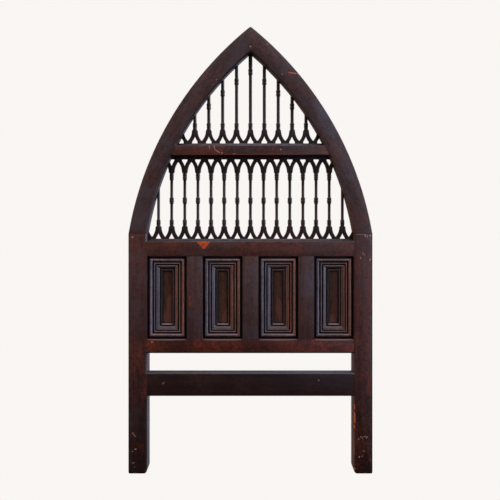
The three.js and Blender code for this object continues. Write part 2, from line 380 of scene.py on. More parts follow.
def stained_wood(name, grain, dark, middle, red, redness=0.35, gloss=0.36, paired=False,
                 sheen_patches=0.0, marks=(), face=FRONT, painted_low_shade=0.0):
    """Dark stained hardwood under a soft sheen. grain is the angle of the fibres from upright.

    marks are spots on the front, of wear and of painted light: a colour, then for each spot the
    place of its middle across and up, its half width and half height, all in millimetres, and its
    turn in degrees.
    """
    finish = bpy.data.materials.new(name)
    finish.use_nodes = True
    tree = finish.node_tree
    body = tree.nodes["Principled BSDF"]
    wood = Shade(tree)

    def noise(at, scale, detail, roughness, **more):
        return wood.node("TexNoise", values={"Vector": at, "Scale": scale, "Detail": detail,
                                             "Roughness": roughness, **more})

    place = wood.node("TexCoord", out="Object")
    split = wood.node("SeparateXYZ", values={0: place})
    x, y, z = (Shade(tree, split.socket.node.outputs[i]) for i in range(3))
    upright = place
    if paired:
        side = x.sum("SIGN", x)
        upright = wood.node("CombineXYZ", values={0: abs(x), 1: y, 2: z + side * PAIR_SHIFT})
    turned = wood.node("Mapping", {"vector_type": "TEXTURE"},
                       {"Vector": upright, "Rotation": (0, radians(grain), 0)})
    streaks = wood.node("Mapping", values={"Vector": turned, "Scale": STREAK_STRETCH})
    fibres = wood.node("Mapping", values={"Vector": turned, "Scale": PORE_STRETCH})
    bands = noise(streaks, *STREAKS, Distortion=STREAK_WAVER)
    pores = noise(fibres, *PORES)
    mottle = noise(place, *MOTTLE)
    clouds = noise(upright, *CLOUDS)

    tone = bands * STREAK_TONE + mottle * MOTTLE_TONE + pores * PORE_TONE
    colour = colour_mix(wood, tone.above(*MIDDLE_TONES), paint(dark), paint(middle))
    # Painted shade: the colour darkens towards the floor, as though less light from above reached
    # it
    if painted_low_shade:
        low = (1 - z.above(level(0), level(LEG_HEIGHT))) * painted_low_shade
        colour = colour_mix(wood, low, colour, paint(LOW_SHADE_TONE))
    patches = clouds.above(*RED_CLOUDS) * mottle.above(*RED_MOTTLE) * redness
    colour = colour_mix(wood, patches, colour, paint(red))
    # Painted sheen: worn here masks random grey-blue patches that stand in for the sky's sheen
    if sheen_patches:
        worn = (1 - clouds.above(*SHEEN_PATCH_CLOUDS)) * sheen_patches
        colour = colour_mix(wood, worn, colour, paint(SHEEN_PATCH_TONE))
    rough = gloss + clouds.above(*DULL_CLOUDS) * DULLING + pores * PORE_DULLING

    if marks:
        ragged = noise(place, *RAGGED)
        near_face = 1 - y.above(*((face + reach) * MM for reach in MARK_REACH))
    for mark_tone, spots in marks:
        mask = None
        for spot_x, spot_height, half_x, half_z, turn in spots:
            c, s = cos(radians(turn)), sin(radians(turn))
            dx, dz = x - spot_x * MM, z - level(spot_height)
            across = (dx * c + dz * s) * (1 / (half_x * MM))
            along = (dz * c - dx * s) * (1 / (half_z * MM))
            spot = 1 - (across * across + along * along).above(*SPOT_EDGE)
            mask = spot if mask is None else mask.sum("MAXIMUM", mask, spot)
        mask = (mask * SPOT_STRENGTH + ragged).above(*RAGGED_EDGE) * near_face
        colour = colour_mix(wood, mask, colour, paint(mark_tone))
        rough = rough + mask * MARK_DULLING
    tree.links.new(colour.socket, body.inputs["Base Color"])
    tree.links.new(rough.socket, body.inputs["Roughness"])
    height = pores * PORE_RELIEF + bands * STREAK_RELIEF + mottle * MOTTLE_RELIEF
    relief = wood.node("Bump", values={"Strength": RELIEF, "Distance": RELIEF_DEPTH,
                                       "Height": height})
    tree.links.new(relief.socket, body.inputs["Normal"])
    return finish


def dress(piece, finish, slot, *nodes):
    """Give a piece its finish and its place in the part."""
    piece.data.materials.clear()
    piece.data.materials.append(finish)
    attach(piece, "root")
    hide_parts(*nodes)


# Chips and scratches at the shoulders and feet, and rubbed streaks down the right-hand leg
LEG_MARKS = [
    ("c08a72", [(-503, 1008, 4, 4, 0), (480, 938, 4, 1.8, 30), (485, 932, 1.8, 3, 0),
                (510, 912, 2, 6, 0), (470, 918, 1.6, 5, 20)]),
    ("a08078", [(489, 1014, 3, 6, 20), (498, 1011, 2, 7, -15), (511, 1014, 6, 2.4, -10),
                (470, 1019.5, 24, 1.2, 0)]),
    ("6a2817", [(507, 842, 3, 34, 2), (504, 792, 7, 30, 0), (508, 752, 4, 40, 2),
                (502, 716, 3, 18, 0), (503, 374, 5, 42, -3), (-480, 1016, 26, 3, 0)]),
    ("c08868", [(-501, 172, 4, 2.4, 40), (-496, 164, 5, 1.8, -30), (-489, 158, 3, 1.8, 0),
                (-503, 94, 2.4, 2.4, 0), (-500, 45, 7, 1.8, 0), (-494, 28, 3, 1.8, 30),
                (461, 146, 2, 5, -20), (470, 156, 5, 1.8, 30), (478, 150, 1.8, 5, 0),
                (486, 158, 6, 1.8, 10), (496, 154, 6, 1.8, 40), (483, 96, 4, 3, 45),
                (476, 74, 3, 2, 0)]),
    ("e8a888", [(-490, 104, 5, 2.4, 0), (464, 70, 4, 3.4, 0)]),
]
# The legs carry painted shade that darkens them towards the floor
leg_finish = stained_wood("leg stain", 0, "3a1e17", "663b2f", "8a3f2a", 0.45, paired=True,
                          sheen_patches=0.25, marks=LEG_MARKS, painted_low_shade=0.75)
dress(right_leg, leg_finish, "leg_wood", "right_leg")
dress(left_leg, leg_finish, "leg_wood", "left_leg")


# Arch boards: two boards sawn to a curve, standing on the legs and meeting at the point. Their
# fibres run straight along each board, so they cross the curve at its ends.
ARCH_DEPTH = 45.0
ARCH_RISE = 884.0
ARCH_CROWN = 108.0
ARCH_OUTER_RADIUS = 1443.0
ARCH_INNER_RADIUS = 1300.0
ARC_SIDES = 256
ARC_SEAM = 0.1
STRAIGHT = radians(0.05)
CUTTER_FRONT = 2 * FRONT
CUTTER_BACK = -FRONT
CUTTER_DEPTH = CUTTER_BACK - CUTTER_FRONT


def arc_centre(foot, tip, radius):
    """Centre of the arc that rises leftward from foot to tip, each (x, height)."""
    half = hypot(tip[0] - foot[0], tip[1] - foot[1]) / 2
    run, rise = (tip[0] - foot[0]) / (2 * half), (tip[1] - foot[1]) / (2 * half)
    reach = sqrt(radius ** 2 - half ** 2)
    return ((foot[0] + tip[0]) / 2 - rise * reach, (foot[1] + tip[1]) / 2 + run * reach)


def cut_away(point, normal, fill=False):
    """Remove what lies behind a plane from the whole mesh in hand."""
    bpy.ops.mesh.select_all(action="SELECT")
    bpy.ops.mesh.bisect(plane_co=point, plane_no=normal, clear_inner=True, use_fill=fill)


def half_disc(name, centre, radius, springing, wall):
    """The right-hand half of a pointed shape, flat, in the front plane."""
    fresh()
    bpy.ops.mesh.primitive_circle_add(vertices=ARC_SIDES, radius=radius * MM, fill_type="NGON",
                                      location=(centre[0] * MM, FRONT * MM, level(centre[1])),
                                      rotation=(radians(90), 0, 0))
    piece = bpy.context.object
    piece.name = piece.data.name = name
    settle()
    edit(piece)
    cut_away((wall * MM, 0, 0), (1, 0, 0))
    cut_away((0, 0, level(springing)), (0, 0, 1))
    return piece


def thicken(front, depth):
    """Push the flat outline in hand back to a depth, from a front plane."""
    bpy.ops.mesh.select_all(action="SELECT")
    bpy.ops.transform.translate(value=(0, (front - FRONT) * MM, 0))
    bpy.ops.mesh.extrude_region_move(TRANSFORM_OT_translate={"value": (0, depth * MM, 0)})
    face_outward()


def pointed(name, centre, radius, springing, sill, front, depth, top=None):
    """A solid with a pointed outline, straight below its springing."""
    piece = half_disc(name, centre, radius, springing, 0)
    if sill < springing:
        pick("EDGE", lambda a, b: near(a.z, level(springing)) and near(b.z, level(springing)))
        bpy.ops.mesh.extrude_region_move(
            TRANSFORM_OT_translate={"value": (0, 0, (sill - springing) * MM)})
    take_up(piece)
    bpy.ops.object.modifier_add(type="MIRROR")
    piece.modifiers[-1].merge_threshold = ARC_SEAM * MM
    bpy.ops.object.modifier_apply(modifier=piece.modifiers[-1].name)
    edit(piece)
    bpy.ops.mesh.select_all(action="SELECT")
    if top is not None:
        bpy.ops.mesh.bisect(plane_co=(0, 0, level(top)), plane_no=(0, 0, -1), clear_inner=True)
        bpy.ops.mesh.select_all(action="SELECT")
    bpy.ops.mesh.dissolve_limited(angle_limit=STRAIGHT)
    thicken(front, depth)
    fresh()
    return piece


def carve(piece, tool, operation="DIFFERENCE"):
    take_up(piece)
    bpy.ops.object.modifier_add(type="BOOLEAN")
    cut = piece.modifiers[-1]
    cut.operation, cut.object, cut.solver = operation, tool, "EXACT"
    bpy.ops.object.modifier_apply(modifier=cut.name)


def put_away(*tools):
    fresh()
    for tool in tools:
        tool.select_set(True)
    bpy.ops.object.delete()


arch_top = LEG_HEIGHT + ARCH_RISE
outer_centre = arc_centre((HALF_WIDTH, LEG_HEIGHT), (0, arch_top), ARCH_OUTER_RADIUS)
inner_centre = arc_centre((LEG_INNER, LEG_HEIGHT), (0, arch_top - ARCH_CROWN), ARCH_INNER_RADIUS)
right_arch = half_disc("right_arch_wood", outer_centre, ARCH_OUTER_RADIUS, LEG_HEIGHT + JOINT,
                       JOINT / 2)
thicken(FRONT, ARCH_DEPTH)
hollow = pointed("hollow", inner_centre, ARCH_INNER_RADIUS, LEG_HEIGHT, LEG_HEIGHT - LEG_WIDTH,
                 CUTTER_FRONT, CUTTER_DEPTH)
carve(right_arch, hollow)
put_away(hollow)
left_arch = opposite(right_arch, "left_arch_wood")

# Bare orange scratches high on the right-hand board, and pale chips near the point and low down
ARCH_MARKS = [
    ("d8683a", [(181, 1707, 24, 2.4, -8), (301, 1579, 5, 3, 0)]),
    ("a87868", [(135, 1702, 4, 3, 0), (-145, 1679, 3, 3, 0), (-141, 1666, 3, 3, 0),
                (0, 1820, 5, 4, 0), (456, 1262, 1.6, 14, 20), (479, 1214, 1.6, 10, 15),
                (73, 1829, 6, 2, -30)]),
]
arch_finish = stained_wood("arch stain", -30, "38251f", "62433c", "7a3a2c", 0.3, paired=True,
                           sheen_patches=0.5, marks=ARCH_MARKS)
dress(right_arch, arch_finish, "arch_wood", "right_arch")
dress(left_arch, arch_finish, "arch_wood", "left_arch")


# Rails: straight boards tenoned between the legs. A thin stretcher lies low down, one rail is
# below and one above the panels, and one crosses the arch with its ends cut to the curve.
STRETCHER = dict(bottom=328.0, height=102.0, depth=27.0)
PANEL_RAIL = dict(bottom=511.0, height=60.0, depth=45.0)
MAIN_RAIL = dict(bottom=926.0, height=67.0, depth=60.0)
MID_RAIL = dict(bottom=1353.0, height=50.0, depth=45.0)


def rail(name, size, reach):
    return block(name, (-reach, FRONT, size["bottom"]),
                 (reach, FRONT + size["depth"], size["bottom"] + size["height"]))


def top_of(size):
    return size["bottom"] + size["height"]


stretcher = rail("stretcher_wood", STRETCHER, LEG_INNER - JOINT)
panel_rail = rail("panel_rail_wood", PANEL_RAIL, LEG_INNER - JOINT)
main_rail = rail("main_rail_wood", MAIN_RAIL, LEG_INNER - JOINT)
mid_rail = rail("mid_rail_wood", MID_RAIL, LEG_INNER)
inside = pointed("inside", inner_centre, ARCH_INNER_RADIUS - JOINT, LEG_HEIGHT,
                 top_of(MAIN_RAIL) - LEG_WIDTH, CUTTER_FRONT, CUTTER_DEPTH)
carve(mid_rail, inside, "INTERSECT")

# The main rail has lost a bright wedge of stain, the panel rail has a painted highlight along its
# top edge, and the other two are scratched
STRETCHER_MARKS = [("8a6048", [(-372, 385, 8, 3.5, 40), (291, 398, 4, 4, 0)]),
                   ("a08468", [(431, 432, 14, 4, -38)])]
MAIN_MARKS = [
    ("e0541c", [(-200, 984, 29, 8, 0), (-199, 976, 20, 9, 0), (-198, 965, 10, 8, 0)]),
    ("8c3414", [(-204, 976, 6, 3, 0)]),
]
PANEL_RAIL_WEAR_AND_HIGHLIGHT = [
    ("b08068", [(-420, 561, 4, 4, 0)]),
    # Painted highlight: a pale band along the top edge of the panel rail, under each panel
    ("7e6058", [(-356, 570, 86, 3.5, 0), (-119, 570, 86, 3.5, 0), (119, 570, 86, 3.5, 0),
                (356, 570, 86, 3.5, 0)]),
]
MID_MARKS = [
    ("c0907a", [(-175, 1392, 2, 10, 15), (-154, 1390, 2, 12, 14), (-140, 1373, 2, 14, 58),
                (-121, 1366, 4, 3, 0), (129, 1381, 4, 3, 0)]),
    ("a8643c", [(-68, 1362, 10, 3, 0)]),
    ("7c3a26", [(-60, 1359, 300, 3, 0)]),
]
stretcher_finish = stained_wood("stretcher stain", 90, "22110e", "3a211d", "5c2a1e", 0.3,
                                marks=STRETCHER_MARKS)
main_finish = stained_wood("rail stain", 90, "3a2119", "6c4033", "8c3e26", 0.45, sheen_patches=0.4,
                           marks=MAIN_MARKS)
low_finish = stained_wood("panel rail stain", 90, "30150e", "5a2a1d", "92381c", 0.75,
                          marks=PANEL_RAIL_WEAR_AND_HIGHLIGHT)
mid_finish = stained_wood("mid rail stain", 90, "341d15", "5e382a", "8c4028", 0.45, sheen_patches=0.35,
                          marks=MID_MARKS)
dress(stretcher, stretcher_finish, "rail_wood", "stretcher")
dress(panel_rail, low_finish, "rail_wood", "panel_rail")
dress(main_rail, main_finish, "rail_wood", "main_rail")
dress(mid_rail, mid_finish, "rail_wood", "mid_rail")


# Chamfers: with the frame together, a small chamfer is run round each opening on the front, so
# that it turns every corner in a mitre. All other edges are only eased with sandpaper.
CHAMFER = 6.0
CUTTER_LEAD = 2.0
GROWN = CHAMFER + CUTTER_LEAD
EASE = 0.9
EASE_STEPS = 2
DOUBLES = 0.2
FLAT = radians(0.3)
SHARP = radians(25)
SMOOTH = radians(30)
FACING = 0.9


def slope_back(tool):
    """Give a cutter's base its sloping sides, which end at the opening's own outline."""
    edit(tool)
    pick("FACE", lambda middle, normal: normal.y > FACING)
    bpy.ops.mesh.inset(thickness=GROWN * MM, depth=GROWN * MM)
    fresh()
    return tool


def square_cutter(low, high):
    return slope_back(block("cutter", (-LEG_INNER - GROWN, FRONT - 2 * CUTTER_LEAD, low - GROWN),
                            (LEG_INNER + GROWN, FRONT - CUTTER_LEAD, high + GROWN)))


def pointed_cutter(springing, sill, top=None):
    return slope_back(pointed("cutter", inner_centre, ARCH_INNER_RADIUS + GROWN, springing,
                              sill - GROWN, FRONT - 2 * CUTTER_LEAD, CUTTER_LEAD,
                              top and top + GROWN))


cutters = [
    square_cutter(-LEG_WIDTH, STRETCHER["bottom"]),
    square_cutter(top_of(STRETCHER), PANEL_RAIL["bottom"]),
    pointed_cutter(LEG_HEIGHT, top_of(MAIN_RAIL), MID_RAIL["bottom"]),
    pointed_cutter(top_of(MID_RAIL) - GROWN, top_of(MID_RAIL)),
]
touched = {
    right_leg: cutters[:3], left_leg: cutters[:3], right_arch: cutters[2:], left_arch: cutters[2:],
    stretcher: cutters[:2], panel_rail: cutters[1:2], main_rail: cutters[2:3],
    mid_rail: cutters[2:],
}


def ease(piece, radius=EASE, doubles=DOUBLES):
    """Take the sharpness off every edge, as sandpaper does."""
    edit(piece)
    bpy.ops.mesh.select_all(action="SELECT")
    bpy.ops.mesh.remove_doubles(threshold=doubles * MM)
    bpy.ops.mesh.dissolve_limited(angle_limit=FLAT)
    take_up(piece)
    bpy.ops.object.modifier_add(type="BEVEL")
    edge = piece.modifiers[-1]
    edge.width, edge.segments = radius * MM, EASE_STEPS
    edge.limit_method, edge.angle_limit = "ANGLE", SHARP
    bpy.ops.object.modifier_apply(modifier=edge.name)
    bpy.ops.object.shade_smooth_by_angle(angle=SMOOTH)


for piece, tools in touched.items():
    for tool in tools:
        carve(piece, tool)
    ease(piece)
put_away(*cutters)


def touch_up(piece, finish, wanted):
    """Give a second finish to the faces that a test wants."""
    piece.data.materials.append(finish)
    edit(piece)
    pick("FACE", wanted)
    piece.active_material_index = len(piece.data.materials) - 1
    bpy.ops.object.material_slot_assign()
    fresh()


# The chamfers were never polished: they stay dull and dark; the ledges facing up get painted sheen
CHAMFER_FACING = (-0.76, -0.65)
LEDGE_FACING = 0.6
LEDGE_BACK = 0.6 * FRONT
CHAMFER_MARKS = [
    ("b86030", [(445, 238, 5, 26, 3), (443, 198, 4, 9, 0), (444, 282, 3, 12, 0)]),
    ("8a5038", [(442, 120, 2, 70, 0), (444, 18, 5, 6, 40)]),
]
chamfer_finish = stained_wood("dull chamfers", 0, "140c0b", "281a19", "341e1a", 0.2, 0.3,
                              marks=CHAMFER_MARKS)
ledge_sheen_finish = stained_wood("ledges with painted sheen", 90, "161112", "2a2324", "322422", 0.2, 0.4)
stretcher_ledge_sheen = stained_wood("stretcher ledge with painted sheen", 90, "30292a", "524a4c", "5a4844",
                               0.2, 0.4)
for piece in touched:
    touch_up(piece, chamfer_finish,
             lambda middle, normal: CHAMFER_FACING[0] < normal.y < CHAMFER_FACING[1])
# Painted sheen: the ledges that face up are greyed, and the stretcher's ledge is lighter than the
# rest
for piece, finish in ((stretcher, stretcher_ledge_sheen), (main_rail, ledge_sheen_finish),
                      (mid_rail, ledge_sheen_finish)):
    touch_up(piece, finish,
             lambda middle, normal: normal.z > LEDGE_FACING and middle.y < LEDGE_BACK * MM)

# At the point the two boards are planed flush after gluing, so no eased edge shows there
APEX_GAP = 0.02
for board, side in ((right_arch, 1), (left_arch, -1)):
    edit(board)
    pick("VERT", lambda v: abs(v.x) < (JOINT / 2 + EASE) * MM + SAME_PLACE)
    bpy.ops.transform.resize(value=(0, 1, 1), center_override=(side * APEX_GAP * MM, 0, 0))
    bpy.ops.mesh.select_all(action="SELECT")
    bpy.ops.mesh.remove_doubles(threshold=SAME_PLACE)
    take_up(board)
    bpy.ops.object.shade_smooth_by_angle(angle=SMOOTH)


# Muntins: three plain uprights between the panels, flush with the rails that they are tenoned
# into. They are planed from the same wood and are a little greyer than the rails.
PANEL_COUNT = 4
PANEL_LOW = top_of(PANEL_RAIL)
PANEL_HIGH = MAIN_RAIL["bottom"]
MUNTIN_WIDTH = 67.0
MUNTIN_DEPTH = 30.0
MUNTIN_EASE = 0.7
PANEL_WIDTH = (2 * LEG_INNER - (PANEL_COUNT - 1) * MUNTIN_WIDTH) / PANEL_COUNT
PANEL_PITCH = PANEL_WIDTH + MUNTIN_WIDTH
FIRST_LEFT = -LEG_INNER
FIRST_RIGHT = FIRST_LEFT + PANEL_WIDTH


def copy_across(piece, name, distance):
    """A like piece further to the right, with a mesh of its own."""
    twin = copy_of(piece, name)
    twin.location.x = distance * MM
    settle()
    return twin


# Two orange rubs on the left-hand muntin
MUNTIN_MARKS = [("945028", [(-257, 722, 4, 10, 5), (-259, 748, 2.5, 11, -5)])]
muntin_finish = stained_wood("muntin stain", 0, "3e2823", "66463f", "7e3e2e", 0.3, sheen_patches=0.5,
                             marks=MUNTIN_MARKS)
muntin = block("muntin_1_wood", (FIRST_RIGHT, FRONT, PANEL_LOW + JOINT),
               (FIRST_RIGHT + MUNTIN_WIDTH, FRONT + MUNTIN_DEPTH, PANEL_HIGH - JOINT))
ease(muntin, MUNTIN_EASE)
muntins = [muntin] + [copy_across(muntin, f"muntin_{number + 1}_wood", number * PANEL_PITCH)
                      for number in range(1, PANEL_COUNT - 1)]
for number, muntin in enumerate(muntins, 1):
    dress(muntin, muntin_finish, "rail_wood", f"muntin_{number}")


# Panels: flat boards set back in the openings, with the mouldings planted on them. The margin
# between the frame and the moulding is painted nearly black: painted shade.
BOARD_RECESS = 16.0
BOARD_THICKNESS = 12.0
BOARD_MARGIN = 67.6
BOARD_EASE = 0.6
FRONT_FACING = -0.99

# The fields have gone redder in soft patches
FIELD_MARKS = [
    ("6a3a28", [(-347, 700, 13, 62, 0), (-352, 650, 20, 40, 20), (-108, 655, 14, 46, -8),
                (128, 690, 16, 60, 10), (350, 640, 14, 36, 0)]),
]
# Painted shade: a near-black finish for the moulding's quirks and the boards' margins
quirk_shade_finish = stained_wood("quirks in painted shade", 0, "0c0606", "1a0f0e", "2a1410", 0.2, 0.6)
panel_finish = stained_wood("panel stain", 0, "3a1e13", "643b26", "7c4424", 0.4,
                            marks=FIELD_MARKS, face=FRONT + BOARD_RECESS)
middle_x, middle_height = (FIRST_LEFT + FIRST_RIGHT) / 2, (PANEL_LOW + PANEL_HIGH) / 2

board = block("panel_1_wood", (FIRST_LEFT + JOINT, FRONT + BOARD_RECESS, PANEL_LOW + JOINT),
              (FIRST_RIGHT - JOINT, FRONT + BOARD_RECESS + BOARD_THICKNESS, PANEL_HIGH - JOINT))
ease(board, BOARD_EASE)
edit(board)
pick("FACE", lambda middle, normal: normal.y < FRONT_FACING)
bpy.ops.mesh.inset(thickness=BOARD_MARGIN * MM)
fresh()
boards = [board] + [copy_across(board, f"panel_{number + 1}_wood", number * PANEL_PITCH)
                    for number in range(1, PANEL_COUNT)]
# Painted shade: the margin round each field gets the near-black quirk finish
for number, board in enumerate(boards):
    dress(board, panel_finish, "panel_wood", f"panel_{number + 1}")
    board_x = (middle_x + number * PANEL_PITCH) * MM
    touch_up(board, quirk_shade_finish, lambda middle, normal: normal.y < FRONT_FACING
             and abs(middle.x - board_x) + abs(middle.z - level(middle_height)) > MM)


# Mouldings: each panel is framed by four lengths of one run moulding, mitred at the corners. From
# the outside in it has a wide round bead, a smaller one, a flat fillet, a slope and an inner bead.
MITRE_GAP = 0.15
MOULDING_SMOOTH = radians(35)


def bead(start, end, foot, crown, steps=6):
    """Points over a round from one side to the other: distance in, then depth."""
    turns = [pi * i / steps for i in range(steps + 1)]
    middle, half = (start + end) / 2, (end - start) / 2
    return [(middle - half * cos(t), foot - (foot - crown) * sin(t)) for t in turns]


# The run's section: distance in from the opening's edge, then depth below the frame's face
MOULDING = [
    (9.6, BOARD_RECESS - JOINT),
    *bead(10.0, 23.6, 12.0, 3.0, 8),
    (24.2, 13.6), (27.2, 13.6),
    *bead(27.8, 35.2, 12.0, 7.2),
    (35.8, 14.2), (39.2, 14.2),
    (39.8, 6.6), (40.4, 5.8), (43.4, 5.5), (44.2, 5.8),
    (54.0, 14.2), (54.6, 15.0), (57.0, 15.0),
    *bead(57.6, 64.8, 14.0, 10.0),
    (65.4, BOARD_RECESS - JOINT),
]

# Where painted shade darkens and painted highlights lighten, as distances in between the same
# edges
CREST_HIGHLIGHTS = [(12.2, 21.6), (29.4, 33.8), (39.8, 44.3)]
QUIRK_SHADE = [(9.5, 10.3), (23.7, 28.0), (35.3, 39.9), (54.1, 57.8)]
INNER_QUIRK_SHADE = [(62.0, 65.5)]
LOWER_BEAD_HIGHLIGHT = [(60.4, 64.2)]


def moulded_ring(name, low, high):
    """One unbroken run of moulding round an opening: a sheet inset step by step."""
    fresh()
    edge_in, depth = MOULDING[0]
    middle = ((low[0] + high[0]) / 2 * MM, (FRONT + depth) * MM,
              (level(low[1]) + level(high[1])) / 2)
    bpy.ops.mesh.primitive_plane_add(size=1, location=middle, rotation=(radians(90), 0, 0))
    piece = bpy.context.object
    piece.name = piece.data.name = name
    piece.scale = ((high[0] - low[0] - 2 * edge_in) * MM, (high[1] - low[1] - 2 * edge_in) * MM, 1)
    settle()
    edit(piece)
    bpy.ops.mesh.select_all(action="SELECT")
    for (last_in, last_deep), (now_in, now_deep) in zip(MOULDING, MOULDING[1:]):
        bpy.ops.mesh.inset(thickness=(now_in - last_in) * MM, depth=(last_deep - now_deep) * MM,
                           use_even_offset=True)
    bpy.ops.mesh.delete(type="FACE")
    bpy.ops.mesh.select_mode(type="EDGE")
    bpy.ops.mesh.select_non_manifold()
    bpy.ops.mesh.bridge_edge_loops()
    face_outward()
    fresh()
    return piece


def mitred(ring, name, out_x, out_z):
    """One side of the run, cut off at 45 degrees from the opening's own corners."""
    length = copy_of(ring, name)
    edit(length)
    cut_away((middle_x * MM, 0, level(middle_height)), (out_x, 0, out_z))
    half_width, half_height = PANEL_WIDTH / 2, (PANEL_HIGH - PANEL_LOW) / 2
    reach_x = half_width if out_x else half_width - MITRE_GAP
    reach_z = half_height if out_z else half_height - MITRE_GAP
    for way in (-1, 1):
        toward_x, toward_z = out_x or way, out_z or way
        corner_place = ((middle_x + toward_x * reach_x) * MM, 0,
                        level(middle_height + toward_z * reach_z))
        cut_away(corner_place, (out_x - way * abs(out_z), 0, out_z - way * abs(out_x)), fill=True)
    take_up(length)
    bpy.ops.object.shade_smooth_by_angle(angle=MOULDING_SMOOTH)
    return length


def within(parts, edge, out):
    """A test for the faces at given distances in from the opening's edge."""
    def wanted(middle, normal):
        distance = -((middle.x - edge[0]) * out[0] + (middle.z - edge[1]) * out[1]) / MM
        return any(low < distance < high for low, high in parts)
    return wanted


# Painted shade darkens the quirks between the beads and inside the inner bead, and painted
# highlights lighten the crests. The left-hand lengths are painted cool and grey as lit by the
# windows, the right-hand ones redder as in shade, and the bead along the bottom gets the palest
# painted highlight.
SIDES = {"bottom": (0, -1), "right": (1, 0), "top": (0, 1), "left": (-1, 0)}
level_stain = stained_wood("moulding stain across", 90, "38231e", "66443b", "824834", 0.35, 0.24)
# Lit and shaded copies of one stain: grey-blue painted sheen on the left, redder painted shade on
# the right
left_sheen_stain = stained_wood("left moulding stain with painted sheen", 0, "32262a", "5c4a50", "6a4848", 0.35, 0.24)
right_shade_stain = stained_wood("right moulding stain in painted shade", 0, "3a1f18", "68402f", "8c4a2e", 0.35, 0.28)
# Painted highlights on the crests: grey on the left, redder on the right, palest on the bottom
# bead
level_crest_highlights = stained_wood("crests with painted highlights", 90, "5e4a48", "a07e7a", "a86e5a", 0.35, 0.22)
left_crest_highlights = stained_wood("left crests with painted highlights", 0, "504850", "8a7e88", "7e6c74", 0.35, 0.22)
right_crest_highlights = stained_wood("right crests with painted highlights", 0, "623c30", "a06a56", "b06040", 0.4, 0.28)
bead_highlight_finish = stained_wood("lower bead with painted highlight", 90, "80706c", "bca8a4", "b89484", 0.3, 0.25)
SIDE_FINISHES = {
    "bottom": (level_stain, level_crest_highlights, LOWER_BEAD_HIGHLIGHT, bead_highlight_finish),
    "right": (right_shade_stain, right_crest_highlights, INNER_QUIRK_SHADE, quirk_shade_finish),
    "top": (level_stain, level_crest_highlights, INNER_QUIRK_SHADE, quirk_shade_finish),
    "left": (left_sheen_stain, left_crest_highlights, INNER_QUIRK_SHADE, quirk_shade_finish),
}

ring = moulded_ring("moulding run", (FIRST_LEFT, PANEL_LOW), (FIRST_RIGHT, PANEL_HIGH))
lengths = {side: mitred(ring, f"moulding_1_{side}_wood", *out) for side, out in SIDES.items()}
put_away(ring)
frames = [lengths]
for number in range(1, PANEL_COUNT):
    frames.append({side: copy_across(length, f"moulding_{number + 1}_{side}_wood",
                                     number * PANEL_PITCH) for side, length in lengths.items()})
for number, lengths in enumerate(frames):
    for side, length in lengths.items():
        stain, crests, inner_part, inner_finish = SIDE_FINISHES[side]
        dress(length, stain, "panel_wood", f"moulding_{number + 1}_{side}")
        out = SIDES[side]
        edge = ((middle_x + number * PANEL_PITCH + out[0] * PANEL_WIDTH / 2) * MM,
                level(middle_height + out[1] * (PANEL_HIGH - PANEL_LOW) / 2))
        for part, finish in ((QUIRK_SHADE, quirk_shade_finish), (CREST_HIGHLIGHTS, crests), (inner_part, inner_finish)):
            touch_up(length, finish, within(part, edge, out))


# Arcades: thin boards sawn into rows of pointed openings. Each spindle stands between two limbs
# with a small pointed hole under it; the row at the top of the lower gallery hangs upside down.
LATTICE_FRONT = FRONT + 27.0
LATTICE_THICKNESS = 15.0
LIMB_WIDTH = 15.5
LOWER = dict(pitch=56.9, count=15, stem_width=24.0)
UPPER = dict(pitch=60.2, count=9, stem_width=24.5)
LOWER_BOTTOM = dict(strip=4.5, tip=11.5, springing=55.0, stem=58.5, shoulder=3.0)
LOWER_TOP = dict(strip=11.0, tip=21.5, springing=67.0, stem=70.0, shoulder=2.5)
UPPER_BOTTOM = dict(strip=7.0, tip=18.0, springing=61.0, stem=68.0, shoulder=4.5)
HOLE_WIDTH = 24.0
DISC_SIDES = 144
BAY_SEAM = 0.05
LATTICE_EASE = 1.0
LATTICE_DOUBLES = 0.1


def disc(radius, x, height):
    fresh()
    bpy.ops.mesh.primitive_cylinder_add(
        vertices=DISC_SIDES, radius=radius * MM, depth=-CUTTER_FRONT * MM,
        location=(x * MM, LATTICE_FRONT * MM, level(height)), rotation=(radians(90), 0, 0))
    return bpy.context.object


